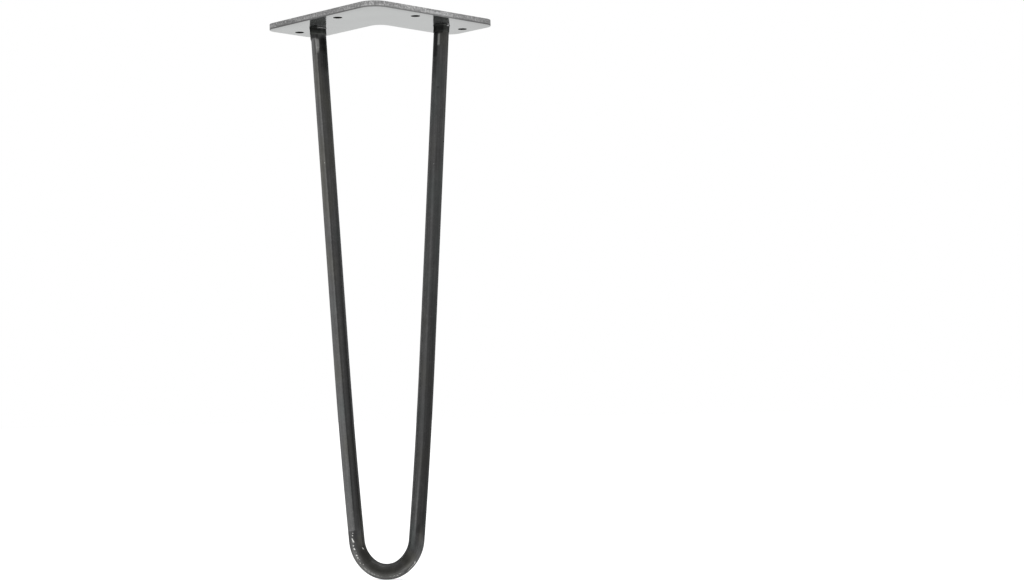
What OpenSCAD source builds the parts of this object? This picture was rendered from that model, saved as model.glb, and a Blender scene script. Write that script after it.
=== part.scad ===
// Hairpin table leg: one round bar bent into a U and welded to an L-shaped mounting plate.
// The origin is on the plate's top face, where the centrelines of its two arms cross.
// +Z is up. The arms run at 45 degrees to +X and to -X, and the plate's outer corner points to -Y.

/* [Mounting plate] */
// Length of each arm along its outer edge, measured from the square outer corner
arm_len = 136; // [120:1:180]
// Width of each arm
arm_w = 55; // [45:1:65]
// Thickness of the plate
plate_t = 5; // [3:0.5:8]
// Radius of the rounded outer corner
corner_r = 15; // [5:1:25]
// Radius of the fillet in the inside corner
crotch_r = 10; // [3:1:20]
// Radius at the outer side of each arm's end
end_outer_r = 10; // [3:0.5:14]
// Radius at the inner side of each arm's end
end_inner_r = 12; // [3:0.5:18]

/* [Screw holes] */
// Diameter of the four plain screw holes
screw_hole_d = 6; // [4:0.5:9]
// Distance of each end hole, on the arm's centreline, from the arm's end
end_hole_inset = 12; // [8:0.5:16]
// Distance of each side hole from the arm's outer edge
side_hole_inset = 11.5; // [8:0.5:20]
// Distance of each side hole along its arm from the square outer corner
side_hole_reach = 56; // [45:1:70]
// Size of the broken edge at the mouths of the holes
hole_edge_break = 0.3; // [0.1:0.1:0.8]

/* [Hairpin rod] */
// Height of the whole leg, from the floor to the plate's top face
leg_height = 458; // [300:1:730]
// Diameter of the round bar
rod_d = 12.7; // [8:0.1:14]
// Distance of each bar end's axis, on the arm's centreline, from the arm's end
rod_end_inset = 36; // [28:1:45]
// Distance of the foot from the square outer corner, along the plate's diagonal
foot_inset = 57; // [20:1:90]
// Centreline radius of the bend at the foot
foot_bend_r = 21; // [16:0.5:30]
// Angle that each half of the foot bend turns through, in degrees
foot_half_turn = 38; // [20:1:60]
// Centreline radius of the opener bend on each side of the foot
shoulder_r = 29; // [22:0.5:60]
// Centreline radius of the slight bow above each shoulder
bow_r = 5400; // [2000:100:6000]
// Angle that each bow turns through, in degrees
bow_turn = 1.6; // [0.5:0.1:2.5]

/* [Welds] */
// Length of bar that each weld covers below the plate
weld_len = 6.5; // [3:0.5:10]
// Thickness of the weld metal on the bar
weld_wall = 0.4; // [0.3:0.1:2]
// How far each weld spreads on the plate beyond the metal on the bar
weld_toe = 0.6; // [0.4:0.1:3]

/* [Hidden] */
round_fn = 96;
$fn = round_fn;

plate_color = [0.74, 0.75, 0.745];
rod_color = [0.25, 0.25, 0.245];
weld_color = [0.16, 0.17, 0.16];

// How far every cutting body runs past what it cuts
overrun = 1;
rod_r = rod_d / 2;

// The square outer corner lies this far before the origin, on the plate's diagonal
corner_y = -arm_w / sqrt(2);
right_arm_angle = 45;

// Where each bar end's axis meets the underside, measured in the part's frame
seat_reach = arm_len - rod_end_inset;
seat_x = (seat_reach - arm_w / 2) / sqrt(2);
seat_y = corner_y + (seat_reach + arm_w / 2) / sqrt(2);

// The bar's centreline lies in one plane, which leans out towards the plate's corner
foot_y = corner_y + foot_inset;
foot_drop = leg_height - plate_t - rod_r;
lean = atan2(seat_y - foot_y, foot_drop);
plane_height = foot_drop / cos(lean);

// Half the centreline in that plane, from the foot up, with each angle taken from the upright
foot_exit = 90 - foot_half_turn;
shoulder_x = (foot_bend_r - shoulder_r) * cos(foot_exit);
shoulder_h = foot_bend_r + (shoulder_r - foot_bend_r) * sin(foot_exit);
seat_run = [seat_x - shoulder_x, plane_height - shoulder_h];
// The straight passes this far from the centre of the shoulder's arc
straight_offset = bow_r * (1 - cos(bow_turn)) + shoulder_r * cos(bow_turn);
straight_angle = acos(straight_offset / norm(seat_run)) - atan2(seat_run[1], seat_run[0]);
shoulder_turn = foot_exit - straight_angle - bow_turn;
bow_sweep = (bow_r - shoulder_r) * sin(bow_turn);
straight_len = sqrt(seat_run * seat_run - straight_offset * straight_offset) - bow_sweep;
// Each stretch of the bar stops a hair short of the next, and a band that stands this little proud
// bridges the gap, so that tangent surfaces never have to meet and the bar is one solid
band_gap = 0.05;
band_w = 0.2;
band_rise = 0.003;
// The long bow is drawn with enough steps for its slight curve
bow_fn = 1440;

// The angle that a distance along an arc of this radius takes up
function degrees_along(radius, distance) = distance / radius * 180 / PI;

// Moves to the right arm: +X runs along its outer edge and +Y across it, with z = 0 at the plate's top face
module on_right_arm() {
    translate([0, corner_y, 0])
        rotate([0, 0, right_arm_angle])
            children();
}

// The same on both arms, with the left one as a mirror image
module on_both_arms() {
    on_right_arm() children();
    mirror([1, 0, 0]) on_right_arm() children();
}

// What a square corner at the origin loses when it is rounded, for a corner that opens to +X and +Y
module corner_waste(r) {
    difference() {
        translate([-overrun, -overrun]) square(r + overrun);
        translate([r, r]) circle(r = r);
    }
}

// The plate's outline, with the square outer corner at the origin and the arms along +X and +Y
module plate_outline() {
    difference() {
        union() {
            square([arm_len, arm_w]);
            square([arm_w, arm_len]);
            translate([arm_w, arm_w]) crotch_fill();
        }
        corner_waste(corner_r);
        arm_end_waste();
        mirror([1, -1]) arm_end_waste();
    }
}

// The fillet metal in the inside corner
module crotch_fill() {
    difference() {
        square(crotch_r);
        translate([crotch_r, crotch_r]) circle(r = crotch_r);
    }
}

// What the two end corners of the arm along +X lose
module arm_end_waste() {
    translate([arm_len, 0]) mirror([1, 0]) corner_waste(end_outer_r);
    translate([arm_len, arm_w]) mirror([1, 0]) mirror([0, 1]) corner_waste(end_inner_r);
}

// One screw hole through the plate, with both mouths' edges broken
module screw_hole() {
    translate([0, 0, -plate_t - overrun])
        cylinder(h = plate_t + 2 * overrun, d = screw_hole_d);
    for (side = [0, 1])
        translate([0, 0, -plate_t * side])
            mirror([0, 0, side])
                mouth_break();
}

// The small cone that breaks a hole's edge at the face z = 0
module mouth_break() {
    r_at_face = screw_hole_d / 2 + hole_edge_break;
    translate([0, 0, -hole_edge_break])
        cylinder(h = hole_edge_break + overrun, r1 = screw_hole_d / 2, r2 = r_at_face + overrun);
}

// The flat plate with its four screw holes
module mounting_plate() {
    color(plate_color)
        difference() {
            translate([0, corner_y, -plate_t])
                rotate([0, 0, right_arm_angle])
                    linear_extrude(plate_t)
                        plate_outline();
            on_both_arms() {
                translate([arm_len - end_hole_inset, arm_w / 2]) screw_hole();
                translate([side_hole_reach, side_hole_inset]) screw_hole();
            }
        }
}

// A bend of the bar: it starts at the origin along +Z and turns towards -X, from one angle to another
module bend(radius, from, to, steps = round_fn) {
    translate([-radius, 0, 0])
        rotate([90, 0, 0])
            rotate_extrude(angle = to - from, start = from, $fn = steps)
                translate([radius, 0])
                    circle(r = rod_r, $fn = round_fn);
}

// Moves to the end of such a bend, with +Z along the bar again
module past_bend(radius, turn) {
    translate([radius * (cos(turn) - 1), 0, radius * sin(turn)])
        rotate([0, -turn, 0])
            children();
}

// The band that joins two stretches of the bar where they meet, at the origin
module join_band() {
    translate([0, 0, -band_w / 2])
        cylinder(h = band_w, r = rod_r + band_rise);
}

// A bend that stops short of both its ends, by half the gap that the bands bridge
module joined_bend(radius, turn, steps = round_fn) {
    spare = degrees_along(radius, band_gap / 2);
    bend(radius, spare, turn - spare, steps);
}

// Moves to the start of the right-hand straight, just above the bow
module at_straight() {
    past_bend(foot_bend_r, foot_half_turn)
        past_bend(shoulder_r, shoulder_turn)
            past_bend(bow_r, bow_turn)
                children();
}

// The right leg of the bar, above the foot bend
module right_leg() {
    past_bend(foot_bend_r, foot_half_turn) {
        join_band();
        joined_bend(shoulder_r, shoulder_turn);
        past_bend(shoulder_r, shoulder_turn) {
            join_band();
            joined_bend(bow_r, bow_turn, bow_fn);
        }
    }
    at_straight() {
        join_band();
        straight();
    }
}

// The straight stretch up to the plate and on through it, to be cut flush
module straight() {
    translate([0, 0, band_gap / 2])
        cylinder(h = straight_len + rod_d, r = rod_r);
}

// The bend at the foot, which both legs share
module foot_bend() {
    reach = foot_half_turn - degrees_along(foot_bend_r, band_gap / 2);
    bend(foot_bend_r, -reach, reach);
}

// Places what is drawn from the middle of the foot along +Z in the bar's leaning plane
module in_rod_plane() {
    translate([0, foot_y, -plate_t - foot_drop])
        rotate([-lean, 0, 0])
            rotate([0, 90, 0])
                children();
}

// All the space above the plate's underside, to cut the bar and the welds flush with it
module above_underside() {
    room = arm_len + rod_d;
    translate([-room, corner_y - room, -plate_t])
        cube([2 * room, 2 * arm_len + room, room]);
}

// The bar: two legs and the hairpin bend between them, cut flush with the plate's underside
module hairpin_rod() {
    color(rod_color)
        difference() {
            union() {
                in_rod_plane() foot_bend();
                in_rod_plane() right_leg();
                mirror([1, 0, 0]) in_rod_plane() right_leg();
            }
            above_underside();
        }
}

// Half the section of the metal on the bar, with y = 0 where the bar's axis meets the plate and a round lower lip
module weld_section() {
    difference() {
        translate([0, -weld_len])
            square([rod_r + weld_wall, weld_len + rod_d]);
        translate([rod_r, -weld_len])
            difference() {
                translate([0, -overrun]) square(weld_wall + overrun);
                translate([0, weld_wall]) circle(r = weld_wall);
            }
    }
}

// The metal that spreads on the plate round a bar end, as a short cone that widens up to the underside
module weld_spread() {
    depth = weld_wall + weld_toe;
    translate([seat_x, seat_y, -plate_t - depth])
        cylinder(h = depth + overrun, r1 = rod_r, r2 = rod_r + depth + overrun);
}

// The weld round the right-hand bar end: it fits the bar and is cut flush with the plate's underside
module right_weld() {
    difference() {
        union() {
            in_rod_plane() at_straight()
                translate([0, 0, straight_len])
                    rotate_extrude()
                        weld_section();
            weld_spread();
        }
        in_rod_plane() at_straight() straight();
        above_underside();
    }
}

module weld_right() {
    color(weld_color) right_weld();
}

module weld_left() {
    color(weld_color) mirror([1, 0, 0]) right_weld();
}

mounting_plate();
hairpin_rod();
weld_left();
weld_right();
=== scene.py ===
"""The looks of the hairpin table leg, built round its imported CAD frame. Lengths are in metres."""
import math

import bmesh
import bpy
import numpy as np
from mathutils import Matrix, Vector, noise


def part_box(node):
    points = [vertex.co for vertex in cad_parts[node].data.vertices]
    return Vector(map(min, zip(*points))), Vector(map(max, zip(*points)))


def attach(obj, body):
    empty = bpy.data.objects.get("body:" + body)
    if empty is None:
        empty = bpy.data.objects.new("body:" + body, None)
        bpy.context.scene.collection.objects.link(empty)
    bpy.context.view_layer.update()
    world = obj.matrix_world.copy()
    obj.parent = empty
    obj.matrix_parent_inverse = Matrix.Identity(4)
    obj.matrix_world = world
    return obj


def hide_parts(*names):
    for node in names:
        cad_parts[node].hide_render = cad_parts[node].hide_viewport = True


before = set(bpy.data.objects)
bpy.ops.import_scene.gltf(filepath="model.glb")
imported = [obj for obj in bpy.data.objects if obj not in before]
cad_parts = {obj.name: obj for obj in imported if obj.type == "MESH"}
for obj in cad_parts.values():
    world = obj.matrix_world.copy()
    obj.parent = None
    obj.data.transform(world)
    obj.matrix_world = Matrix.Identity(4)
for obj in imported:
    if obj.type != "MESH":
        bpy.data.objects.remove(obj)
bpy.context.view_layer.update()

MM = 0.001

# The mounting plate, with the same driving sizes as the CAD
ARM_LEN = 136 * MM
ARM_W = 55 * MM
CORNER_R = 15 * MM
CROTCH_R = 10 * MM
END_OUTER_R = 10 * MM
END_INNER_R = 12 * MM
HOLE_R = 3 * MM
END_HOLE_INSET = 12 * MM
SIDE_HOLE_INSET = 11.5 * MM
SIDE_HOLE_REACH = 56 * MM

# The bar, with the same driving sizes as the CAD
ROD_R = 6.35 * MM
ROD_END_INSET = 36 * MM
FOOT_INSET = 57 * MM
FOOT_BEND_R = 21 * MM
FOOT_HALF_TURN = math.radians(38)
SHOULDER_R = 29 * MM
BOW_R = 5400 * MM
BOW_TURN = math.radians(1.6)

# Places that follow from those sizes and from the frame's own boxes
plate_low, plate_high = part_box("mounting_plate")
UNDERSIDE = plate_low.z
PLATE_TOP = plate_high.z
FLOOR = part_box("hairpin_rod")[0].z
CORNER_Y = -ARM_W / math.sqrt(2)
SEAT_REACH = ARM_LEN - ROD_END_INSET
SEAT_X = (SEAT_REACH - ARM_W / 2) / math.sqrt(2)
SEAT_Y = CORNER_Y + (SEAT_REACH + ARM_W / 2) / math.sqrt(2)
FOOT_Y = CORNER_Y + FOOT_INSET
FOOT_Z = FLOOR + ROD_R
LEAN = math.atan2(SEAT_Y - FOOT_Y, UNDERSIDE - FOOT_Z)

# The plate's rounded edges, and how much smaller it is drawn, to stay inside the frame's own box
EDGE_ROUND = 0.3 * MM
OUTLINE_SLACK = 0.03 * MM
# How far the holes' near-black walls, a painted shade, spread on to the underside
HOLE_MARK = 0.8 * MM
# Points on each corner of the outline, steps on each rounded edge, and sides of each hole
CORNER_POINTS = 15
EDGE_STEPS = 5
HOLE_SIDES = 40
# Which of the plate's materials its walls use
CUT_EDGE = 1
HOLE_WALL = 2

# The step between the bar's rings, the finer step at the foot and how far it reaches, and a ring's sides
RING_STEP = 1.0 * MM
FOOT_RING_STEP = 0.5 * MM
FOOT_REACH = 50 * MM
RING_SIDES = 80
# The last ring below each flush cut stays this far from it
CUT_CLEARANCE = 1.2 * MM

# How far the rolled surface of the bar falls short of its full radius at most
BAR_WAVE = 0.05 * MM
# Its slow and its fine waves: swings in a metre across and along the bar, and their share of that depth
SLOW_ACROSS, SLOW_ALONG, SLOW_SHARE = 90, 14, 0.38
FINE_ACROSS, FINE_ALONG, FINE_SHARE = 260, 90, 0.12
# The place in the noise where the fine waves start
FINE_START = 7

# The burnt scale on the bar's outer side below the left weld: its thickness, its ends along the bar in
# millimetres and their blur, and the angles in degrees between which it rises and falls
SCALE_THICK = 0.5 * MM
SCALE_ENDS = (-470, -451.6)
SCALE_BLUR = 0.4
SCALE_RISE = (0, 60)
SCALE_FALL = (120, 160)

# The welds, with side -1 for the left one and 1 for the right one: how far they reach down the bar, the full
# thickness of their wall, how far they spread on the plate, and their rows and sides
WELD_LEN = {-1: 6.5 * MM, 1: 6.3 * MM}
WELD_WALL = 0.35 * MM
WELD_TOE = 0.9 * MM
WELD_ROWS = 40
WELD_SIDES = 120
# The rows run down to this many times the weld's length, and end this far inside the bar's full radius
LIP_OVERRUN = 1.04
LIP_SINK = 0.06 * MM
# The heights over which the lip rounds off and the toe runs out
LIP_ROUND = 1.2 * MM
TOE_RUN = 0.45 * MM
# The wall's mean, its ripples and its lumps, as shares of its full thickness
MEAN_SHARE = 0.85
RIPPLE_SHARE = 0.05
LUMP_SHARE = 0.08
RIPPLE_PITCH = 1.3 * MM
LUMPS_IN_A_METRE = 500
# How far the lip, the toe and the ripples wander round the bar, and how often they and the lumps swing
LIP_WANDER, LIP_SWINGS = 0.04, 1.6
TOE_WANDER, TOE_SWINGS = 0.2, 3.1
RIPPLE_WANDER, RIPPLE_SWINGS = 0.35, 1.3
LUMP_SWINGS = 3
# The share of the burnt scale's thickness that lies on the left weld
SCALE_ON_WELD = 0.6
# Where in the noise each weld lies, on its own side of zero
WELD_IN_NOISE = 3.7

# How light the scorched welds are. The left one pales downward, a painted shade darkest next to the plate,
# between these shares of its length, from the first tone to the second. Its outer and its inner half have
# their own tones and blend between two angles.
LEFT_PALING = (0.15, 1.2)
LEFT_OUTER_TONES = (0.32, 0.94)
LEFT_INNER_TONES = (0.44, 1.31)
LEFT_INNER_TURN = (6, 30)
# The right one has an inner and an outer tone, and blends between two angles
RIGHT_TONES = (0.36, 0.88)
RIGHT_OUTER_TURN = (12, 26)

# Bare metal at the welds' toes, painted bright as a highlight too. On the left a line: its ends and their
# blur in degrees, its depth and width
BARE_LINE_ENDS = (-88, 0)
BARE_LINE_BLUR = 8
BARE_LINE = (0.9 * MM, 0.45 * MM)
# On the right a dot: its depth and width, and its angle and width in degrees
BARE_DOT = (0.5 * MM, 0.9 * MM)
BARE_DOT_TURN = (62, 11)

# Beads of spatter: side, angle round the bar, distance from its axis, depth below the plate and radius, in
# degrees and millimetres
BEADS = [
    (-1, 86, 6.95, 0.9, 0.40),
    (1, 53, 6.9, 0.45, 0.60),
    (1, 44, 6.9, 0.9, 0.35),
]
# How finely each bead is drawn, and which of the weld's materials it uses
BEAD_FINENESS = 3
BEAD_METAL = 1

# The camera, matched to the photograph, which is 1024 by 580 pixels
PHOTO_WIDTH = 1024
FOCAL_PIXELS = 2000
SENSOR = 36
CAMERA_AT = Vector((94.2, -1592.8, -326.4)) * MM
CAMERA_AIM = Vector((104.7, 18.2, -228.1)) * MM
CAMERA_ROLL = math.radians(-1.258)

# The floor: how much light it gives back, how much it glows to the eye, and half its width
FLOOR_ALBEDO = 0.5
FLOOR_GLOW = 0.68
FLOOR_HALF = 40.0

# The surround's light: its plain level, its slope toward the right, and how much is added at both sides,
# overhead, and at the sides behind. The power keeps the light of the sides close to them.
WORLD_LEVEL = 0.74
WORLD_SLOPE = -0.14
SIDE_LIGHT = 0.3
SIDE_POWER = 6.0
SKY_LIGHT = 0.35
BACK_LIGHT = 0.6

# The softboxes: name, place, width and radiance
SOFTBOXES = [
    ("key softbox", Vector((-1.5, -1.5, 0.3)), 1.2, 0.25),
    ("top softbox", Vector((0.5, 0.3, 1.6)), 1.4, 1.2),
]


# Marks on the bar: painted light and shade, and wear

# Each is placed by its distance from the foot's middle in millimetres, negative on the left leg, and by its
# angle round the bar in degrees, 0 at the front and 90 on the outer side of the U.

# Where each leg's own shading starts, and where the foot's own shading and its strong mottling end
LEFT_START = (50, 70)
RIGHT_START = (36, 50)
FOOT_END = (24, 40)
FOOT_MOTTLING_END = (40, 60)

# Mottling: its strength on the bar, how much the foot adds, and its swings in a metre across and along
MOTTLING = 0.10
FOOT_MOTTLING = 0.22
MOTTLING_SWINGS = (260, 170)

# The lighter band on the left leg is painted light on its lit side: its edge, its ends near the weld and
# above the foot, and its far side
BAND_EDGE = [
    (-450, 15),
    (-400, 13.5),
    (-360, 11.5),
    (-335, 11.5),
    (-300, 7),
    (-270, 8.5),
    (-225, 6),
    (-187, 5),
    (-165, 2),
    (-90, 1),
    (-50, 3),
]
BAND_ENDS = (-452, -46)
BAND_FAR_SIDE = 140
# How wide the blur is of its edge, its ends and its far side
BAND_EDGE_BLUR = 12
BAND_END_BLUR = 3
BAND_FAR_BLUR = 30

# The painted dark line of shade just before the band's edge: how far before, how wide, and how dark along
# the leg
LINE_SHIFT = 4
LINE_WIDTH = 4
LINE_DEPTH = [(-440, 0.25), (-330, 0.12), (-230, 0.12), (-150, 0.30), (-70, 0.55)]
# The painted shade on the left leg's front: how dark, where it sets in along the leg, its sides and their
# blur
LEFT_FRONT_SHADE = 0.2
LEFT_FRONT_START = (-190, -120)
LEFT_FRONT_SIDES = (-28, -3)
LEFT_FRONT_BLUR = 6

# The faint streak on the right leg, a painted highlight: the angle of its ridge, its width, and how light it
# is along the leg
STREAK_RIDGE = [(60, -14), (100, -6), (140, -6), (200, -9), (270, -6), (340, -12), (400, -10), (450, -14)]
STREAK_WIDTH = 7
STREAK_HEIGHT = [
    (60, 0.55),
    (90, 0.50),
    (115, 0.34),
    (130, 0.08),
    (185, 0.22),
    (225, 0.42),
    (340, 0.26),
    (400, 0.04),
]
# The painted shade on its outer side: how dark along the leg, and how far past the ridge it sets in
STREAK_SHADE = [(60, 0.40), (200, 0.28), (250, 0.12), (330, 0.03), (450, 0.02)]
STREAK_SHADE_START = (2, 10)
# The lighter inner rim of the right leg, painted light: how light along it, and the inward angles between
# which it rises
RIM_LIGHT = [(300, 0.24), (400, 0.06)]
RIM_RISE = (44, 56)

# Soft stripes of painted shade down a leg: angle of the middle, width, and how much lighter or, below 0,
# darker they are
LEFT_STRIPES = [
    (33, 13, [(-450, -0.08), (-400, -0.18), (-330, -0.26), (-190, -0.26), (-160, -0.14), (-60, -0.04)]),
    (-42, 16, [(-420, -0.08), (-300, -0.16), (-264, -0.24), (-240, -0.38), (-210, -0.58), (-60, -0.56)]),
]
RIGHT_STRIPES = [
    (42, 14, [(60, -0.36), (210, -0.34), (250, -0.18), (330, -0.18), (400, 0.0)]),
    (-30, 10, [(60, -0.17)]),
]

# The foot's bend has painted shade: darker in front, less so toward its inner side, and darkest far inside.
# Each has its strength and the angles between which it changes, outward for the first and inward for the
# others.
BEND_FRONT_SHADE, BEND_FRONT_END = 0.38, (4, 40)
BEND_INNER_RELIEF, BEND_INNER_START = 0.45, (25, 50)
BEND_INSIDE_SHADE, BEND_INSIDE_START = 0.45, (56, 76)
# Its rim on the outer side is lighter, a painted reflection of the floor: how much, at what angle and how
# wide
BEND_RIM_LIGHT = 1.05
BEND_RIM = (47, 26)

# Patches of painted highlight and shade, most of all below the welds, and of lighter and darker scale: first
# and last distance, first and last angle, blur of their edges in millimetres, and how many times lighter
# they are than the steel round them
PATCHES = [
    (-451.5, -446, -110, -9, 0.5, 0.62),
    (-453, -440, -110, -8, 3.0, 0.46),
    (-445, -426, -110, -8, 5.0, 0.55),
    (-430, -405, -60, -8, 8.0, 0.80),
    (-451.2, -443, -6, 21, 0.5, 2.5),
    (-450.5, -441, -6, 13, 0.8, 1.7),
    (-443.4, -439.4, 0, 17, 0.5, 2.8),
    (-451, -438, 25, 33, 0.4, 0.60),
    (443.5, 453.4, -24, -7, 0.5, 4.3),
    (434, 458, -70, -24, 1.5, 0.42),
    (418, 434, -76, -16, 3.0, 0.72),
    (453.8, 463, -180, 14, 0.4, 0.42),
    (-463, -451.8, 0, 180, 0.4, 0.62),
    (-463, -451.8, -180, 0, 0.4, 1.25),
    (407, 408.6, -14, 6, 0.4, 0.70),
    (393, 397, -16, -8, 0.6, 1.25),
    (-64, -48, -62, -2, 3.0, 0.77),
    (-78, -47, 5, 24, 2.0, 1.16),
    (-46, -36, 32, 75, 2.5, 1.30),
    (-46, -37, -16, 15, 1.5, 0.68),
    (-37, -31, -62, -30, 1.5, 1.20),
    (-33, -22, 2, 20, 2.0, 1.30),
    (-29, -21, -60, -2, 2.0, 0.72),
    (-21, -16.5, -45, -15, 1.0, 0.82),
    (-16.5, -12, -50, -28, 1.0, 1.25),
    (-6, 1, -64, -44, 1.5, 0.75),
    (-9, 8, -38, -12, 3.0, 1.42),
    (8, 13, -55, -30, 1.5, 1.20),
    (17, 24, -42, -14, 2.0, 0.68),
    (12, 21, 40, 48, 0.6, 0.55),
    (22, 33, -16, 16, 3.0, 1.28),
    (30, 35, -44, -14, 2.0, 1.30),
    (24, 48, 30, 64, 3.0, 0.76),
    (33, 50, -46, -14, 3.0, 1.22),
    (37, 46, -8, 22, 2.0, 0.86),
    (34, 49, 24, 60, 2.5, 1.22),
    (19, 35, 30, 46, 2.0, 0.76),
    (42, 49, 30, 52, 2.0, 1.20),
    (50, 74, -64, -30, 4.0, 1.12),
    (52, 84, -12, 16, 3.0, 1.18),
    (32, 43, 16, 30, 1.5, 1.30),
]

# Flecks rubbed or scratched bright: distance, angle, half length in millimetres, half width in degrees, and
# how solid they are
FLECKS = [
    (-44.2, 21, 1.0, 7, 0.90),
    (-42.4, 25, 1.1, 8, 0.92),
    (-39.6, 29, 1.7, 9, 1.00),
    (-37.9, 23, 2.1, 10, 1.00),
    (-34.6, 27, 0.9, 10, 0.90),
    (-32.0, 26, 1.3, 11, 1.00),
    (-29.6, 22, 0.9, 8, 0.88),
    (-27.2, 28, 1.0, 11, 0.95),
    (-25.2, 29, 0.9, 10, 0.92),
    (-23.4, 25, 0.8, 7, 0.80),
    (-21.3, 41, 1.2, 13, 0.67),
    (-19.0, 25, 0.8, 9, 0.80),
    (-17.2, 38, 0.9, 10, 0.65),
    (-15.2, 44, 1.2, 13, 0.62),
    (-13.2, 36, 1.0, 11, 0.66),
    (-10.6, 38, 1.5, 14, 0.67),
    (-8.4, 36, 0.9, 11, 0.62),
    (-6.2, 40, 1.1, 11, 0.60),
    (-3.4, 37, 1.5, 12, 0.62),
    (-30.2, -38, 2.2, 8, 1.00),
    (6.0, 46, 2.6, 12, 0.58),
    (15.0, 58, 3.0, 8, 0.70),
    (21.5, 54, 2.2, 9, 0.80),
    (-346.5, 18, 1.0, 6, 0.80),
    (-330.5, 20, 0.9, 12, 0.50),
    (-211, -20, 0.9, 10, 0.45),
    (-156, 15, 1.1, 12, 0.50),
    (343.5, -14, 2.2, 6, 0.66),
    (409.6, -5, 0.9, 8, 0.55),
]
# How far the flecks lean: degrees back for each millimetre along the bar
FLECK_LEAN = 4.5
# How steeply a fleck or a graze rises from its edge. Above 1 its top is flat.
FLECK_STEEPNESS = 1.5

# Wider places where the skin is rubbed through in fine specks, written like the flecks
GRAZES = [
    (-34, 30, 12, 16, 0.50),
    (-12, 42, 15, 22, 0.56),
    (6, 40, 12, 20, 0.56),
    (19, 57, 9, 9, 0.66),
    (-250, 30, 190, 14, 0.28),
]

# Colour casts, written like the patches: up to 1 for olive and down to -1 for teal
CASTS = [
    (-42, -18, -62, 0, 3.0, 1.0),
    (-14, 14, -16, 16, 3.0, 0.8),
    (14, 28, -50, 40, 3.0, 0.9),
    (30, 52, -62, -12, 4.0, -1.0),
    (35, 47, 10, 50, 3.0, 0.8),
]
# The cast everywhere else: its strength, and its swings in a metre across and along the bar
CAST_STRENGTH = 1.2
CAST_SWINGS = (90, 28)


# Soft shapes

def soft_step(value, low, high):
    """0 below the first limit and 1 above the second, with a smooth rise between them."""
    t = np.clip((value - low) / (high - low), 0, 1)
    return t * t * (3 - 2 * t)


def between(value, low, high, blur):
    """1 between two limits and 0 beyond them, blurred across each."""
    return soft_step(value, low - blur, low + blur) * (1 - soft_step(value, high - blur, high + blur))


def stripe(value, middle, width):
    """1 at the middle, falling softly to 0 on both sides."""
    return np.exp(-((value - middle) / width) ** 2)


def blend(low, high, share):
    """The value that lies at this share of the way from one to the other."""
    return low + (high - low) * share


def level_at(along, table):
    """What a table of distances and levels gives at each distance, with straight runs between its rows."""
    return np.interp(along, *zip(*table))


def patch_mask(along, angle, first, last, low, high, blur):
    """1 on a patch of the bar and 0 beyond it, with edges blurred by so many millimetres."""
    blur_angle = math.degrees(blur * MM / ROD_R)
    return between(along, first, last, blur) * between(angle, low, high, blur_angle)


def spot(along, angle, place, turn, half_length, half_width):
    """A soft round mark on the bar, 1 at its middle and 0 beyond its edge."""
    span = np.hypot((along - place) / half_length, (angle - turn) / half_width)
    return np.clip(FLECK_STEEPNESS * (1 - span), 0, 1)


def slow_noise(places, across, lengthwise):
    """Smooth noise on the bar's surface, with so many swings in a metre across the bar and along it."""
    stretch = Vector((across, across, lengthwise))
    return np.array([noise.noise(Vector(place) * stretch) for place in places])


# The bar's centreline

def stretches():
    """The radius and turn of each bend from the foot up, and the length of the straight above them."""
    foot_exit = math.pi / 2 - FOOT_HALF_TURN
    shoulder_x = (FOOT_BEND_R - SHOULDER_R) * math.cos(foot_exit)
    shoulder_h = FOOT_BEND_R + (SHOULDER_R - FOOT_BEND_R) * math.sin(foot_exit)
    run_x = SEAT_X - shoulder_x
    run_h = math.hypot(SEAT_Y - FOOT_Y, UNDERSIDE - FOOT_Z) - shoulder_h
    run = math.hypot(run_x, run_h)
    offset = BOW_R * (1 - math.cos(BOW_TURN)) + SHOULDER_R * math.cos(BOW_TURN)
    straight_angle = math.acos(offset / run) - math.atan2(run_h, run_x)
    shoulder_turn = foot_exit - straight_angle - BOW_TURN
    straight = math.sqrt(run * run - offset * offset) - (BOW_R - SHOULDER_R) * math.sin(BOW_TURN)
    bends = [(FOOT_BEND_R, FOOT_HALF_TURN), (SHOULDER_R, shoulder_turn), (BOW_R, BOW_TURN)]
    return bends, straight


BENDS, STRAIGHT = stretches()
HALF_LENGTH = sum(radius * turn for radius, turn in BENDS) + STRAIGHT
UP = Vector((0, math.sin(LEAN), math.cos(LEAN)))
FRONT = Vector((0, -math.cos(LEAN), math.sin(LEAN)))


def bar_place(distance):
    """The bar's centre, direction and outer side, this far from the foot's middle (below 0 on the left)."""
    side = Vector((math.copysign(1, distance), 0, 0))
    left_over = abs(distance)
    across = 0.0
    height = 0.0
    heading = 0.0
    for radius, turn in BENDS:
        step = min(left_over, radius * turn) / radius
        across += radius * (math.sin(heading + step) - math.sin(heading))
        height += radius * (math.cos(heading) - math.cos(heading + step))
        heading += step
        left_over -= radius * step
    across += left_over * math.cos(heading)
    height += left_over * math.sin(heading)
    centre = Vector((0, FOOT_Y, FOOT_Z)) + side * across + UP * height
    direction = (side * math.cos(heading) + UP * math.sin(heading)) * math.copysign(1, distance)
    outer = side * math.sin(heading) - UP * math.cos(heading)
    return centre, direction, outer


# Meshes

def new_piece(name, mesh, node, materials):
    """Puts a mesh in the scene as the piece that stands for a CAD node."""
    piece = bpy.data.objects.new(name, mesh)
    bpy.context.scene.collection.objects.link(piece)
    for material in materials:
        mesh.materials.append(material)
    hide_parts(node)
    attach(piece, "root")


def turns_round(count):
    """So many even angles round the bar."""
    return np.linspace(-math.pi, math.pi, count, endpoint=False)


def slide_to_underside(point, direction):
    """The point moved along a direction until it lies in the plate's underside."""
    return point + direction * ((UNDERSIDE - point.z) / direction.z)


def bridge(bm, rows):
    """Quads between each closed row of vertices and the next."""
    faces = []
    for low, high in zip(rows, rows[1:]):
        for i in range(len(low)):
            j = (i + 1) % len(low)
            faces.append(bm.faces.new((low[i], low[j], high[j], high[i])))
    return faces


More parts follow.
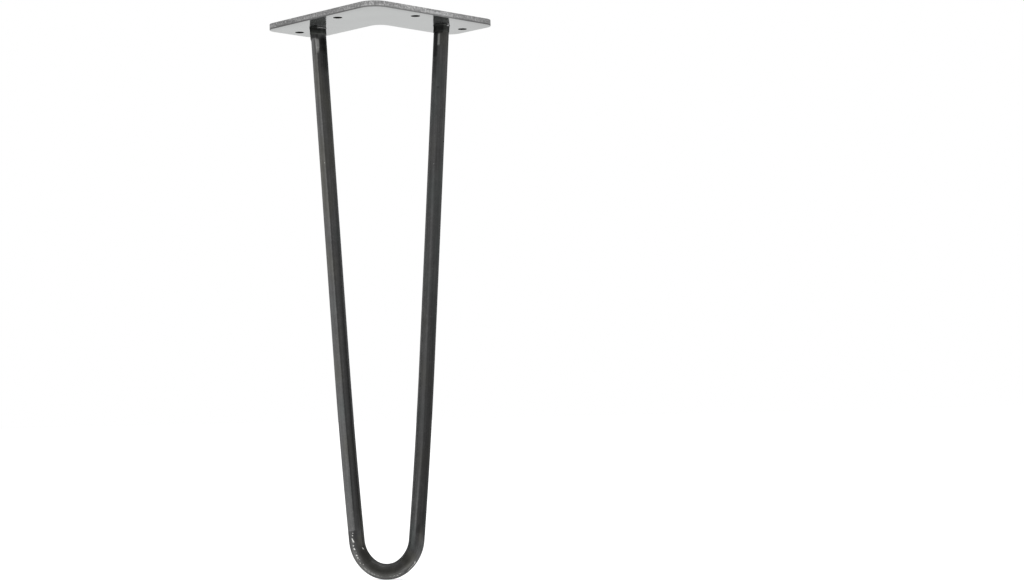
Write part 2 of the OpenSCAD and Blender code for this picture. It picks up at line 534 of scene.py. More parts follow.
def finished(bm, name):
    """The mesh of a bmesh, with its faces turned outward."""
    bmesh.ops.recalc_face_normals(bm, faces=bm.faces)
    mesh = bpy.data.meshes.new(name)
    bm.to_mesh(mesh)
    bm.free()
    return mesh


# The bar's mesh

def rolled_depth(front, outer, along):
    """How far a point of the bar's surface lies under its full radius: slow and fine waves along the bar."""
    slow = noise.noise(Vector((front * SLOW_ACROSS, outer * SLOW_ACROSS, along * SLOW_ALONG)))
    fine = noise.noise(Vector((front * FINE_ACROSS, outer * FINE_ACROSS, along * FINE_ALONG + FINE_START)))
    return BAR_WAVE * (0.5 + SLOW_SHARE * slow + FINE_SHARE * fine)


def scale_height(angle, along):
    """How far the burnt scale below the left weld stands out, on the outer side of the bar."""
    turn = math.degrees(angle)
    lengthwise = between(along / MM, *SCALE_ENDS, SCALE_BLUR)
    crosswise = soft_step(turn, *SCALE_RISE) * (1 - soft_step(turn, *SCALE_FALL))
    return SCALE_THICK * float(lengthwise * crosswise)


def ring_distances():
    """Where the rings lie along the bar: closest at the foot, with the flush cuts first and last."""
    reach = HALF_LENGTH - CUT_CLEARANCE
    foot = np.linspace(-FOOT_REACH, FOOT_REACH, math.ceil(2 * FOOT_REACH / FOOT_RING_STEP) + 1)
    leg = np.linspace(FOOT_REACH, reach, math.ceil((reach - FOOT_REACH) / RING_STEP) + 1)[1:]
    return [-HALF_LENGTH, *-leg[::-1], *foot, *leg, HALF_LENGTH]


def bar_ring(bm, unbent, distance):
    """One ring of the bar's surface. The two at its ends lie in the plate's underside."""
    centre, direction, outer = bar_place(distance)
    ring = []
    for angle in turns_round(RING_SIDES):
        front, side = math.cos(angle), math.sin(angle)
        depth = rolled_depth(front * ROD_R, side * ROD_R, distance)
        reach = ROD_R - depth + scale_height(angle, distance)
        point = centre + reach * (FRONT * front + outer * side)
        if abs(distance) == HALF_LENGTH:
            point = slide_to_underside(point, direction)
        vert = bm.verts.new(point)
        vert[unbent] = (ROD_R * front, ROD_R * side, distance)
        ring.append(vert)
    return ring


def bar_mesh():
    """The bar as rings swept along its centreline, cut flush with the plate's underside at both ends."""
    bm = bmesh.new()
    unbent = bm.verts.layers.float_vector.new("unbent")
    rings = [bar_ring(bm, unbent, distance) for distance in ring_distances()]
    bridge(bm, rings)
    bm.faces.new(rings[0])
    bm.faces.new(rings[-1])
    for face in bm.faces:
        face.smooth = True
    paint_wear_and_light(bm, unbent)
    return finished(bm, "bar")


# The bar's wear, and its painted light and shade

def paint_wear_and_light(bm, unbent):
    """Keeps on each vertex its painted light and shade with its patches' tone, how far inside the painted
    light band, how bright a fleck, and its cast.
    """
    places = np.array([vert[unbent] for vert in bm.verts])
    along = places[:, 2] / MM
    angle = np.degrees(np.arctan2(places[:, 1], places[:, 0]))
    fields = {
        "painted_light_and_tone": painted_light_and_tone_field(along, angle) * mottling(places, along),
        "band": band_field(along, angle),
        "fleck": fleck_field(along, angle),
        "cast": cast_field(places, along, angle),
    }
    for name, field in fields.items():
        layer = bm.verts.layers.float.new(name)
        for vert, value in zip(bm.verts, field):
            vert[layer] = float(value)


def mottling(places, along):
    """Uneven patches a few millimetres across, strongest round the foot."""
    foot = 1 - soft_step(np.abs(along), *FOOT_MOTTLING_END)
    return 1 + (MOTTLING + FOOT_MOTTLING * foot) * slow_noise(places, *MOTTLING_SWINGS)


def painted_light_and_tone_field(along, angle):
    """How many times lighter or darker than plain the bar's surface is: painted light and shade on the legs
    and the foot, and patches of painted highlight and shade and of lighter and darker scale.
    """
    painted_light_and_tone = left_leg_painted_shade(along, angle) * right_leg_painted_light(along, angle) * foot_painted_light(along, angle)
    for *patch, gain in PATCHES:
        painted_light_and_tone = painted_light_and_tone * gain ** patch_mask(along, angle, *patch)
    return painted_light_and_tone


def left_leg_painted_shade(along, angle):
    """The left leg's painted shade: a dark line by the band's edge, two darker stripes, and a darker front
    low down.
    """
    on_left = soft_step(-along, *LEFT_START)
    line_middle = level_at(along, BAND_EDGE) - LINE_SHIFT
    painted_light_and_tone = 1 - on_left * level_at(along, LINE_DEPTH) * stripe(angle, line_middle, LINE_WIDTH)
    for middle, width, table in LEFT_STRIPES:
        painted_light_and_tone = painted_light_and_tone * (1 + on_left * level_at(along, table) * stripe(angle, middle, width))
    front = soft_step(along, *LEFT_FRONT_START) * between(angle, *LEFT_FRONT_SIDES, LEFT_FRONT_BLUR)
    return painted_light_and_tone * (1 - LEFT_FRONT_SHADE * on_left * front)


def right_leg_painted_light(along, angle):
    """The right leg's painted light and shade: a light streak, a shade beside it, two darker stripes, and a
    light inner rim.
    """
    on_right = soft_step(along, *RIGHT_START)
    ridge = level_at(along, STREAK_RIDGE)
    painted_light_and_tone = 1 + on_right * level_at(along, STREAK_HEIGHT) * stripe(angle, ridge, STREAK_WIDTH)
    shade = level_at(along, STREAK_SHADE) * soft_step(angle - ridge, *STREAK_SHADE_START)
    painted_light_and_tone = painted_light_and_tone * (1 - on_right * shade)
    for middle, width, table in RIGHT_STRIPES:
        painted_light_and_tone = painted_light_and_tone * (1 + on_right * level_at(along, table) * stripe(angle, middle, width))
    return painted_light_and_tone * (1 + on_right * level_at(along, RIM_LIGHT) * soft_step(-angle, *RIM_RISE))


def foot_painted_light(along, angle):
    """The foot's bend: painted shade in front and inside, and a painted reflection as a lighter rim on the
    outer side.
    """
    foot = 1 - soft_step(np.abs(along), *FOOT_END)
    relief = 1 - BEND_INNER_RELIEF * soft_step(-angle, *BEND_INNER_START)
    front = 1 - foot * BEND_FRONT_SHADE * (1 - soft_step(angle, *BEND_FRONT_END)) * relief
    inside = 1 - foot * BEND_INSIDE_SHADE * soft_step(-angle, *BEND_INSIDE_START)
    rim = 1 + foot * BEND_RIM_LIGHT * stripe(angle, *BEND_RIM)
    return front * inside * rim


def band_field(along, angle):
    """The painted light band on the left leg's lit side: it rises from 0 to 1 across its edge and is 0.5 on
    it.
    """
    across = 0.5 + (angle - level_at(along, BAND_EDGE)) / BAND_EDGE_BLUR
    first, last = BAND_ENDS
    lengthwise = 0.5 + np.minimum(along - first, last - along) / BAND_END_BLUR
    far_side = 0.5 + (BAND_FAR_SIDE - angle) / BAND_FAR_BLUR
    return np.clip(np.minimum(np.minimum(across, lengthwise), far_side), 0, 1)


def fleck_field(along, angle):
    """Where the dark skin is scratched through to bright steel."""
    field = np.zeros_like(along)
    for place, turn, half_length, half_width, strength in FLECKS:
        leaned = angle + FLECK_LEAN * (along - place)
        field = np.maximum(field, strength * spot(along, leaned, place, turn, half_length, half_width))
    for *graze, strength in GRAZES:
        field = np.maximum(field, strength * spot(along, angle, *graze))
    return field


def cast_field(places, along, angle):
    """How olive (above 0) or teal (below 0) the dark skin is: slow noise, and set casts near the foot."""
    field = CAST_STRENGTH * slow_noise(places, *CAST_SWINGS)
    for *patch, amount in CASTS:
        mask = patch_mask(along, angle, *patch)
        field = field * (1 - mask) + amount * mask
    return np.clip(field, -1, 1)


# The plate's mesh

def to_plan(x, y):
    """A point of the arms' own square axes, from the outer corner, in the frame's plan."""
    return (x - y) / math.sqrt(2), CORNER_Y + (x + y) / math.sqrt(2)


def outline_arcs():
    """Each corner of the outline in turn: centre, radius, first and last angle, and whether it bulges."""
    right_angle = math.pi / 2
    long_outer = ARM_LEN - END_OUTER_R
    long_inner = ARM_LEN - END_INNER_R
    fillet = ARM_W + CROTCH_R
    return [
        ((CORNER_R, CORNER_R), CORNER_R, 2 * right_angle, 3 * right_angle, True),
        ((long_outer, END_OUTER_R), END_OUTER_R, 3 * right_angle, 4 * right_angle, True),
        ((long_inner, ARM_W - END_INNER_R), END_INNER_R, 0, right_angle, True),
        ((fillet, fillet), CROTCH_R, 3 * right_angle, 2 * right_angle, False),
        ((ARM_W - END_INNER_R, long_inner), END_INNER_R, 0, right_angle, True),
        ((END_OUTER_R, long_outer), END_OUTER_R, right_angle, 2 * right_angle, True),
    ]


def plate_outline(inset):
    """The plate's outline in the frame's plan, this far inside its full size."""
    points = []
    for (x, y), radius, first, last, bulges in outline_arcs():
        reach = radius - inset if bulges else radius + inset
        for angle in np.linspace(first, last, CORNER_POINTS):
            points.append(to_plan(x + reach * math.cos(angle), y + reach * math.sin(angle)))
    return points


def edge_profile():
    """The inset and height of each row round the plate's edge, from the underside up."""
    quarter = [math.pi / 2 * k / EDGE_STEPS for k in range(EDGE_STEPS + 1)]
    low = [(EDGE_ROUND * (1 - math.sin(a)), UNDERSIDE + EDGE_ROUND * (1 - math.cos(a))) for a in quarter]
    high = [(inset, UNDERSIDE + PLATE_TOP - z) for inset, z in reversed(low)]
    return low + high


def hole_centres():
    """The four screw holes in the frame's plan."""
    end = ARM_LEN - END_HOLE_INSET
    return [
        to_plan(end, ARM_W / 2),
        to_plan(ARM_W / 2, end),
        to_plan(SIDE_HOLE_REACH, SIDE_HOLE_INSET),
        to_plan(SIDE_HOLE_INSET, SIDE_HOLE_REACH),
    ]


def circle(centre, radius):
    """Points round a hole in the plan."""
    turns = [2 * math.pi * k / HOLE_SIDES for k in range(HOLE_SIDES)]
    return [(centre[0] + radius * math.cos(a), centre[1] + radius * math.sin(a)) for a in turns]


def ring_of(bm, points, z):
    """Vertices at these points of the plan, all at one height."""
    return [bm.verts.new((x, y, z)) for x, y in points]


def fill_between(bm, loops):
    """Fills the flat face between an outline and the holes inside it."""
    edges = []
    for loop in loops:
        for a, b in zip(loop, loop[1:] + loop[:1]):
            edges.append(bm.edges.get((a, b)))
    bmesh.ops.triangle_fill(bm, edges=edges, use_beauty=True)


def plate_mesh():
    """The plate: its flat faces use the first material, its cut edge the second and its holes the third."""
    bm = bmesh.new()
    walls = [[ring_of(bm, plate_outline(OUTLINE_SLACK + inset), z) for inset, z in edge_profile()]]
    # A ring of the holes' painted shade on the underside round each mouth
    mouth = [(HOLE_MARK, UNDERSIDE), *edge_profile()]
    for centre in hole_centres():
        walls.append([ring_of(bm, circle(centre, HOLE_R + inset), z) for inset, z in mouth])
    for index, wall in enumerate(walls):
        for face in bridge(bm, wall):
            face.smooth = True
            face.material_index = CUT_EDGE if index == 0 else HOLE_WALL
    for level in (0, -1):
        fill_between(bm, [wall[level] for wall in walls])
    return finished(bm, "plate")


# The welds' meshes

def weld_reach(side, depth, angle):
    """Distance of the weld's surface from the bar's axis, this deep below the plate."""
    around = Vector((math.cos(angle), math.sin(angle), WELD_IN_NOISE * side))
    lip = WELD_LEN[side] * (1 - LIP_WANDER + LIP_WANDER * noise.noise(around * LIP_SWINGS))
    toe = WELD_TOE * (1 - TOE_WANDER + TOE_WANDER * noise.noise(around * TOE_SWINGS))
    phase = depth / RIPPLE_PITCH + RIPPLE_WANDER * noise.noise(around * RIPPLE_SWINGS)
    ripple = RIPPLE_SHARE * math.sin(2 * math.pi * phase)
    lump = LUMP_SHARE * noise.noise(around * LUMP_SWINGS + Vector((0, 0, depth * LUMPS_IN_A_METRE)))
    wall = WELD_WALL * (MEAN_SHARE + ripple + lump)
    if side < 0:
        wall += SCALE_ON_WELD * SCALE_THICK * float(soft_step(math.degrees(angle), *SCALE_RISE))
    spread = (toe - wall) * math.exp(-depth / TOE_RUN)
    below = min(max((lip - depth) / LIP_ROUND, 0.0), 1.0)
    roll_off = math.sqrt(1 - (1 - below) ** 2)
    return ROD_R + (wall + spread) * roll_off - LIP_SINK * (1 - roll_off)


def weld_scorch_and_shade(side, depth, angle):
    """How light the scorched weld is: on the left it pales downward from a painted shade next to the plate,
    on the right towards the outer side.
    """
    turn = math.degrees(angle)
    if side > 0:
        return blend(*RIGHT_TONES, float(soft_step(turn, *RIGHT_OUTER_TURN)))
    paled = float(soft_step(depth / WELD_LEN[side], *LEFT_PALING))
    inner = float(soft_step(-turn, *LEFT_INNER_TURN))
    return blend(blend(*LEFT_OUTER_TONES, paled), blend(*LEFT_INNER_TONES, paled), inner)


def weld_bare_and_highlight(side, depth, angle):
    """Where bare metal and a painted highlight show at the toe: a line on the left weld's inner half, a dot
    on the right one.
    """
    turn = math.degrees(angle)
    if side > 0:
        return float(stripe(depth, *BARE_DOT) * stripe(turn, *BARE_DOT_TURN))
    return float(between(turn, *BARE_LINE_ENDS, BARE_LINE_BLUR) * stripe(depth, *BARE_LINE))


def weld_mesh(side):
    """The weld metal round one bar end, as rows from the plate down to the lip on the bar."""
    bm = bmesh.new()
    unbent = bm.verts.layers.float_vector.new("unbent")
    painted_light_and_tone = bm.verts.layers.float.new("painted_light_and_tone")
    bare_and_highlight = bm.verts.layers.float.new("bare_and_highlight")
    seat, direction, outer = bar_place(side * HALF_LENGTH)
    down = -direction if direction.z > 0 else direction
    rows = []
    for depth in np.linspace(0, WELD_LEN[side] * LIP_OVERRUN, WELD_ROWS):
        row = []
        for angle in turns_round(WELD_SIDES):
            reach = weld_reach(side, depth, angle)
            point = seat + reach * (FRONT * math.cos(angle) + outer * math.sin(angle))
            vert = bm.verts.new(slide_to_underside(point, direction) + down * depth)
            vert[unbent] = (reach * math.cos(angle), reach * math.sin(angle), depth)
            vert[painted_light_and_tone] = weld_scorch_and_shade(side, depth, angle)
            vert[bare_and_highlight] = weld_bare_and_highlight(side, depth, angle)
            row.append(vert)
        rows.append(row)
    for face in bridge(bm, rows):
        face.smooth = True
    add_beads(bm, side)
    return finished(bm, "weld")


def add_beads(bm, side):
    """Small round drops of weld metal beside the weld. They use the second material."""
    seat, _, outer = bar_place(side * HALF_LENGTH)
    for bead_side, angle, reach, depth, radius in BEADS:
        if bead_side != side:
            continue
        turn = math.radians(angle)
        centre = seat + reach * MM * (FRONT * math.cos(turn) + outer * math.sin(turn))
        centre.z = UNDERSIDE - depth * MM
        place = Matrix.Translation(centre)
        made = bmesh.ops.create_icosphere(bm, subdivisions=BEAD_FINENESS, radius=radius * MM, matrix=place)
        for vert in made["verts"]:
            for face in vert.link_faces:
                face.smooth = True
                face.material_index = BEAD_METAL


# Materials

def grey(value, red=1.0, blue=1.0):
    """A near-neutral colour, with its red and blue raised or lowered a little."""
    return (value * red, value, value * blue, 1.0)


# The bar: its scale in two shades, blotches, pale specks, pits, colour casts, and steel that is worn bright
SCALE_DARK = grey(0.058)
SCALE_PALE = grey(0.082)
SCALE_BLOTCH = grey(0.052)
SCALE_SPECK = grey(0.105)
SCALE_PIT = grey(0.042)
TEAL_CAST = grey(0.068, 0.88, 0.98)
OLIVE_CAST = grey(0.068, 1.02, 0.84)
WORN_STEEL = grey(0.66, 1.0, 0.96)
# How many times lighter the painted light band is than the rest
BAND_GAIN = 1.85

# The plate's faces: two shades of sheet, and dark specks
SHEET_DARK = grey(0.474, 0.968, 0.985)
SHEET_PALE = grey(0.511, 0.968, 0.985)
SHEET_SPECK = grey(0.36)
# Painted shade: a darker margin along the outer edges, its width and its share of the light
MARGIN = 14 * MM
MARGIN_SHADE = 0.84
# Painted shade at the right end: where it sets in and its share of the light
FACE_END = (55 * MM, 90 * MM)
FACE_END_SHADE = 0.88
# The painted dark oval before each weld on the underside, where the bar is mirrored: its half sizes and how
# dark it is
REFLECTION_HALF_X = 7 * MM
REFLECTION_HALF_Y = 8 * MM
REFLECTION_SHADE_DEPTH = 0.75

# The plate's cut edge: two shades, pits, glints, stripes, and a line along the lower and the upper side
EDGE_DARK = grey(0.20)
EDGE_PALE = grey(0.32)
EDGE_PIT = grey(0.14)
EDGE_GLINT = grey(0.52)
EDGE_STRIPE = grey(0.19)
EDGE_LOW_LINE = grey(0.12)
EDGE_TOP_LINE = grey(0.17)
# Where the lower line fades above the underside, and the upper one below the top
LOW_LINE_FADE = (0.9 * MM, 1.4 * MM)
TOP_LINE_FADE = (0.9 * MM, 0.4 * MM)
# Painted light on the cut edge from left to right, darker at both ends and lighter on the right arm: each
# step's two places and its two shares of the light
EDGE_PAINTED_LIGHT = [
    (-55 * MM, -45 * MM, 0.86, 1.0),
    (-14 * MM, 0.0, 1.0, 1.46),
    (60 * MM, 78 * MM, 1.0, 0.72),
]

# The holes' walls, the welds and the beads
HOLE_DARK = grey(0.003)
HOLE_PALE = grey(0.012)
WELD_DARK = grey(0.058, 0.96, 0.92)
WELD_PALE = grey(0.070, 0.96, 0.95)
WELD_BRIGHT = grey(0.22)
BEAD_DARK = grey(0.30)
BEAD_BRIGHT = grey(0.75)


class Nodes:
    """Builds the nodes of a material or world with calls that give the socket that the next one takes."""

    def __init__(self, owner):
        owner.use_nodes = True
        self.owner = owner
        self.tree = owner.node_tree

    def add(self, kind, inputs=(), **settings):
        node = self.tree.nodes.new(kind)
        for key, value in settings.items():
            setattr(node, key, value)
        for key, value in dict(inputs).items():
            self.feed(node.inputs[key], value)
        return node

    def feed(self, socket, value):
        if isinstance(value, bpy.types.NodeSocket):
            self.tree.links.new(value, socket)
        else:
            socket.default_value = value

    def attribute(self, name, output="Fac"):
        return self.add("ShaderNodeAttribute", attribute_name=name).outputs[output]

    def place(self, kind="Object"):
        return self.add("ShaderNodeTexCoord").outputs[kind]

    def axes(self, vector):
        return self.add("ShaderNodeSeparateXYZ", {0: vector}).outputs

    def noise(self, vector, swings, detail=3.0, rough=0.5):
        """Noise from 0 to 1, with so many swings in a metre along each axis."""
        scaled = self.add("ShaderNodeMapping", {"Vector": vector, "Scale": swings}).outputs[0]
        inputs = {"Vector": scaled, "Scale": 1.0, "Detail": detail, "Roughness": rough}
        return self.add("ShaderNodeTexNoise", inputs).outputs["Fac"]

    def maths(self, operation, a, b=0.0):
        return self.add("ShaderNodeMath", {0: a, 1: b}, operation=operation).outputs[0]

    def step(self, value, low, high, start=0.0, end=1.0):
        """A smooth change from one value to another between two limits."""
        inputs = {"Value": value, "From Min": low, "From Max": high, "To Min": start, "To Max": end}
        return self.add("ShaderNodeMapRange", inputs, interpolation_type="SMOOTHSTEP").outputs[0]

    def mix(self, share, low, high):
        node = self.add("ShaderNodeMix", data_type="RGBA")
        for key, value in (("Factor_Float", share), ("A_Color", low), ("B_Color", high)):
            self.feed(next(s for s in node.inputs if s.identifier == key), value)
        return next(s for s in node.outputs if s.identifier == "Result_Color")

    def times(self, colour, factor):
        return self.add("ShaderNodeVectorMath", {0: colour, "Scale": factor}, operation="SCALE").outputs[0]

    def bump(self, height, strength, distance, before=None):
        inputs = {"Height": height, "Strength": strength, "Distance": distance}
        if before is not None:
            inputs["Normal"] = before
        return self.add("ShaderNodeBump", inputs).outputs[0]

    def metal(self, colour, roughness, normal, edge_tint, metallic=1.0, specular=0.5):
        """Feeds the main shader and gives the material."""
        inputs = {
            "Base Color": colour,
            "Roughness": roughness,
            "Normal": normal,
            "Metallic": metallic,
            "Specular IOR Level": specular,
            "Specular Tint": grey(edge_tint),
        }
        shader = self.tree.nodes["Principled BSDF"]
        for key, value in inputs.items():
            self.feed(shader.inputs[key], value)
        return self.owner


def new_material(name):
    """The nodes of a new material, one main shader to begin with."""
    return Nodes(bpy.data.materials.new(name))


def bar_material():
    """Dark mill scale, satin, with lengthwise marks, painted light and shade, a painted lighter band and
    places worn to bright steel.
    """
    n = new_material("bar steel")
    unbent = n.attribute("unbent", "Vector")
    streaks = n.noise(unbent, swings=(700, 700, 12))
    blotch = n.noise(unbent, swings=(220, 220, 55))
    speckle = n.noise(unbent, swings=(900, 900, 600), rough=0.6)
    broken = n.noise(unbent, swings=(2300, 2300, 1000), rough=0.6)
    colour = n.mix(n.step(streaks, 0.3, 0.7), SCALE_DARK, SCALE_PALE)
    colour = n.mix(n.step(blotch, 0.35, 0.7, end=0.45), colour, SCALE_BLOTCH)
    colour = n.mix(n.step(speckle, 0.52, 0.72, end=0.5), colour, SCALE_SPECK)
    colour = n.mix(n.step(speckle, 0.28, 0.42, start=0.45, end=0.0), colour, SCALE_PIT)
    cast = n.attribute("cast")
    colour = n.mix(n.step(cast, -1.0, 0.0, start=0.5, end=0.0), colour, TEAL_CAST)
    colour = n.mix(n.step(cast, 0.0, 1.0, end=0.5), colour, OLIVE_CAST)
    wobble = n.maths("MULTIPLY", n.maths("SUBTRACT", speckle, 0.5), 0.5)
    in_band = n.maths("ADD", n.attribute("band"), wobble)
    # Painted light and shade along the bar, with the patches' tone
    colour = n.times(colour, n.attribute("painted_light_and_tone"))
    # The painted light band on the left leg's lit side
    colour = n.times(colour, n.step(in_band, 0.42, 0.62, start=1.0, end=BAND_GAIN))
    worn = n.step(n.maths("ADD", broken, n.attribute("fleck")), 1.10, 1.22)
    colour = n.mix(worn, colour, WORN_STEEL)
    height = n.maths("ADD", n.maths("MULTIPLY", speckle, 0.6), n.maths("MULTIPLY", broken, 0.4))
    roughness = n.step(blotch, 0.2, 0.8, start=0.30, end=0.40)
    return n.metal(colour, roughness, n.bump(height, strength=0.35, distance=0.04 * MM), edge_tint=0.5)


def painted_bar_reflection(n, x, y, z):
    """The share of the light that the sheet keeps under a painted dark reflection: least on the underside,
    just before each weld.
    """
    aside = n.maths("DIVIDE", n.maths("SUBTRACT", n.maths("ABSOLUTE", x), SEAT_X), REFLECTION_HALF_X)
    before = n.maths("DIVIDE", n.maths("SUBTRACT", y, SEAT_Y - ROD_R), REFLECTION_HALF_Y)
    from_weld = n.maths("ADD", n.maths("POWER", aside, 2.0), n.maths("POWER", before, 2.0))
    oval = n.step(from_weld, 0.5, 1.0, start=1.0, end=0.0)
    beneath = n.step(z, UNDERSIDE, PLATE_TOP, start=REFLECTION_SHADE_DEPTH, end=0.0)
    return n.maths("SUBTRACT", 1.0, n.maths("MULTIPLY", beneath, oval))


def plate_face_material():
    """Smooth cold-rolled sheet that mirrors softly, with faint smears, rolling marks, and painted shade: a
    darker margin, a darker right end and a dark reflection before each weld.
    """
    n = new_material("plate steel")
    place = n.place()
    smear = n.noise(place, swings=(28, 60, 60), detail=4)
    grain = n.noise(place, swings=(1500, 120, 200), detail=2)
    speck = n.noise(place, swings=(900, 900, 900), detail=2)
    waves = n.noise(place, swings=(22, 22, 22), detail=1)
    colour = n.mix(n.step(smear, 0.3, 0.7), SHEET_DARK, SHEET_PALE)
    colour = n.mix(n.step(speck, 0.62, 0.75, end=0.25), colour, SHEET_SPECK)
    x, y, z = n.axes(place)
    from_edge = n.maths("SUBTRACT", n.maths("SUBTRACT", y, CORNER_Y), n.maths("ABSOLUTE", x))
    # Painted shade along the outer edges and at the right end
    colour = n.times(colour, n.step(from_edge, 0.0, MARGIN, start=MARGIN_SHADE, end=1.0))
    colour = n.times(colour, n.step(x, *FACE_END, start=1.0, end=FACE_END_SHADE))
    # Painted dark reflection of the bar before each weld
    colour = n.times(colour, painted_bar_reflection(n, x, y, z))
    roughness = n.step(smear, 0.25, 0.75, start=0.10, end=0.17)
    normal = n.bump(waves, strength=0.2, distance=0.2 * MM)
    normal = n.bump(grain, strength=0.12, distance=0.02 * MM, before=normal)
    return n.metal(colour, roughness, normal, edge_tint=0.66, metallic=0.82)


def cut_edge_material():
    """The sheet's cut edge: dull, speckled, with painted light, paler on the right arm, and a darker line
    along each side.
    """
    n = new_material("plate cut edge")
    place = n.place()
    speckle = n.noise(place, swings=(620, 620, 620), detail=4, rough=0.65)
    stripes = n.noise(place, swings=(900, 900, 90))
    patch = n.noise(place, swings=(45, 45, 300))
    colour = n.mix(n.step(patch, 0.35, 0.65), EDGE_DARK, EDGE_PALE)
    colour = n.mix(n.step(speckle, 0.37, 0.52, start=0.87, end=0.0), colour, EDGE_PIT)
    colour = n.mix(n.step(speckle, 0.52, 0.67, end=0.75), colour, EDGE_GLINT)
    colour = n.mix(n.step(stripes, 0.5, 0.75, end=0.35), colour, EDGE_STRIPE)
    x, _, z = n.axes(place)
    low_fade = [UNDERSIDE + height for height in LOW_LINE_FADE]
    colour = n.mix(n.step(z, *low_fade, start=0.85, end=0.0), colour, EDGE_LOW_LINE)
    top_fade = [PLATE_TOP - depth for depth in TOP_LINE_FADE]
    colour = n.mix(n.step(z, *top_fade, end=0.4), colour, EDGE_TOP_LINE)
    # Painted light: the ends darker, the right arm lighter
    for shade in EDGE_PAINTED_LIGHT:
        colour = n.times(colour, n.step(x, *shade))
    roughness = n.step(speckle, 0.3, 0.7, start=0.38, end=0.55)
    normal = n.bump(stripes, strength=0.5, distance=0.06 * MM)
    normal = n.bump(speckle, strength=0.5, distance=0.08 * MM, before=normal)
    return n.metal(colour, roughness, normal, edge_tint=0.8)


def hole_material():
    """The holes' walls, matt and painted near black for the shade inside them."""
    n = new_material("hole wall")
    broken = n.noise(n.place(), swings=(900, 900, 900))
    colour = n.mix(broken, HOLE_DARK, HOLE_PALE)
    normal = n.bump(broken, strength=0.3, distance=0.05 * MM)
    return n.metal(colour, roughness=0.8, normal=normal, edge_tint=0.0, metallic=0.0, specular=0.0)


def weld_material():
    """Scorched weld metal, nearly black, with painted shade next to the plate, and bare metal with a painted
    highlight where its toe meets the plate.
    """
    n = new_material("weld metal")
    broken = n.noise(n.attribute("unbent", "Vector"), swings=(450, 450, 450))
    colour = n.mix(n.step(broken, 0.35, 0.65), WELD_DARK, WELD_PALE)
    # The weld's scorched tones, with painted shade next to the plate
    colour = n.times(colour, n.attribute("painted_light_and_tone"))
    # Bare metal and painted highlight at the toe
    shown = n.maths("MULTIPLY", n.attribute("bare_and_highlight"), n.step(broken, 0.35, 0.6, start=0.45, end=1.0))
    colour = n.mix(shown, colour, WELD_BRIGHT)
    roughness = n.step(broken, 0.3, 0.7, start=0.32, end=0.45)
    return n.metal(colour, roughness, n.bump(broken, strength=0.35, distance=0.08 * MM), edge_tint=0.4)


def bead_material():
    """Small drops of weld metal, worn bright in places."""
    n = new_material("weld bead")
    broken = n.noise(n.place(), swings=(1500, 1500, 1500))
    colour = n.mix(n.step(broken, 0.35, 0.65), BEAD_DARK, BEAD_BRIGHT)
    normal = n.bump(broken, strength=0.3, distance=0.03 * MM)
    return n.metal(colour, roughness=0.3, normal=normal, edge_tint=0.6)


# Studio

def seen_directly(n):
    """1 for camera, glossy and transmission rays and 0 for the rays that light the object."""
    path = n.add("ShaderNodeLightPath").outputs
    total = path["Is Camera Ray"]
    for name in ("Is Glossy Ray", "Is Transmission Ray"):
        total = n.maths("MAXIMUM", total, path[name])
    return total


def floor_material():
    """White to look at, yet dull enough to keep the object's shadow."""
    n = new_material("floor")
    n.tree.nodes.clear()
    dull = n.add("ShaderNodeBsdfDiffuse", {"Color": grey(FLOOR_ALBEDO)}).outputs[0]
    strength = n.maths("MULTIPLY", seen_directly(n), FLOOR_GLOW)
    glow = n.add("ShaderNodeEmission", {"Strength": strength}).outputs[0]
    total = n.add("ShaderNodeAddShader", {0: dull, 1: glow}).outputs[0]
    n.add("ShaderNodeOutputMaterial", {"Surface": total})
    return n.owner


def make_floor():
    """A wide plain floor that the foot stands on."""
    mesh = bpy.data.meshes.new("floor")
    h = FLOOR_HALF
    corners = [(-h, -h, FLOOR), (h, -h, FLOOR), (h, h, FLOOR), (-h, h, FLOOR)]
    mesh.from_pydata(corners, [], [(0, 1, 2, 3)])
    mesh.materials.append(floor_material())
    floor = bpy.data.objects.new("floor", mesh)
    bpy.context.scene.collection.objects.link(floor)


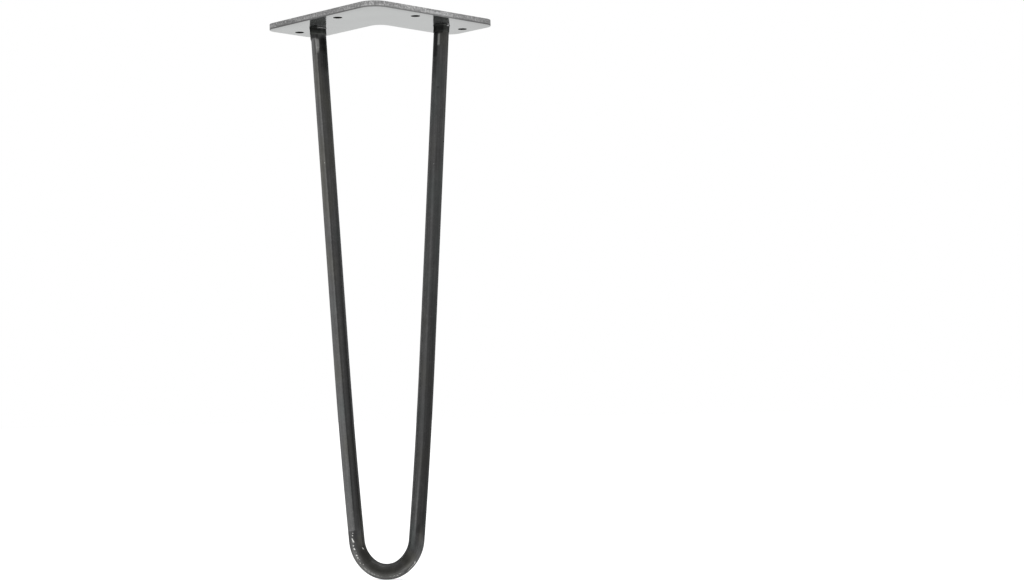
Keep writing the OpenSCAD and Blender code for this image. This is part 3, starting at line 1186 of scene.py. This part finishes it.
def make_world():
    """A white surround to look at. As light it is soft, and brightest at both sides, the left more so."""
    n = Nodes(bpy.data.worlds.new("studio"))
    n.tree.nodes.clear()
    x, y, z = n.axes(n.place("Generated"))
    aside = n.maths("ABSOLUTE", x)
    behind = n.maths("MAXIMUM", y, 0.0)
    level = n.maths("ADD", WORLD_LEVEL, n.maths("MULTIPLY", x, WORLD_SLOPE))
    level = n.maths("ADD", level, n.maths("MULTIPLY", n.maths("POWER", aside, SIDE_POWER), SIDE_LIGHT))
    level = n.maths("ADD", level, n.maths("MULTIPLY", n.maths("MAXIMUM", z, 0.0), SKY_LIGHT))
    level = n.maths("ADD", level, n.maths("MULTIPLY", behind, n.maths("MULTIPLY", aside, BACK_LIGHT)))
    seen = n.add("ShaderNodeLightPath").outputs["Is Camera Ray"]
    inputs = {"Color": grey(1.0), "Strength": n.maths("MAXIMUM", level, seen)}
    background = n.add("ShaderNodeBackground", inputs).outputs[0]
    n.add("ShaderNodeOutputWorld", {"Surface": background})
    bpy.context.scene.world = n.owner


def softbox(name, location, size, radiance):
    """A large square lamp of an even brightness, facing the middle of the leg."""
    data = bpy.data.lights.new(name, "AREA")
    data.shape = "SQUARE"
    data.size = size
    data.energy = radiance * math.pi * size * size
    lamp = bpy.data.objects.new(name, data)
    bpy.context.scene.collection.objects.link(lamp)
    lamp.location = location
    target = Vector((0, 0, (UNDERSIDE + FLOOR) / 2))
    lamp.rotation_mode = "QUATERNION"
    lamp.rotation_quaternion = (target - lamp.location).to_track_quat("-Z", "Y")


def make_camera():
    """The camera at the photograph's place and angle."""
    data = bpy.data.cameras.new("camera")
    data.sensor_width = SENSOR
    data.lens = FOCAL_PIXELS * SENSOR / PHOTO_WIDTH
    camera = bpy.data.objects.new("camera", data)
    bpy.context.scene.collection.objects.link(camera)
    forward = (CAMERA_AIM - CAMERA_AT).normalized()
    level = forward.cross(Vector((0, 0, 1))).normalized()
    above = level.cross(forward)
    right = level * math.cos(CAMERA_ROLL) + above * math.sin(CAMERA_ROLL)
    up = above * math.cos(CAMERA_ROLL) - level * math.sin(CAMERA_ROLL)
    turn = Matrix((right, up, -forward)).transposed()
    camera.matrix_world = Matrix.Translation(CAMERA_AT) @ turn.to_4x4()
    bpy.context.scene.camera = camera


def make_leg():
    """The four pieces that stand for the CAD nodes."""
    plate_metals = [plate_face_material(), cut_edge_material(), hole_material()]
    new_piece("plate", plate_mesh(), "mounting_plate", plate_metals)
    new_piece("bar", bar_mesh(), "hairpin_rod", [bar_material()])
    weld_metals = [weld_material(), bead_material()]
    new_piece("weld_on_left", weld_mesh(-1), "weld_left", weld_metals)
    new_piece("weld_on_right", weld_mesh(1), "weld_right", weld_metals)


make_leg()
make_floor()
make_world()
for box in SOFTBOXES:
    softbox(*box)
make_camera()
bpy.context.scene.view_settings.view_transform = "Standard"
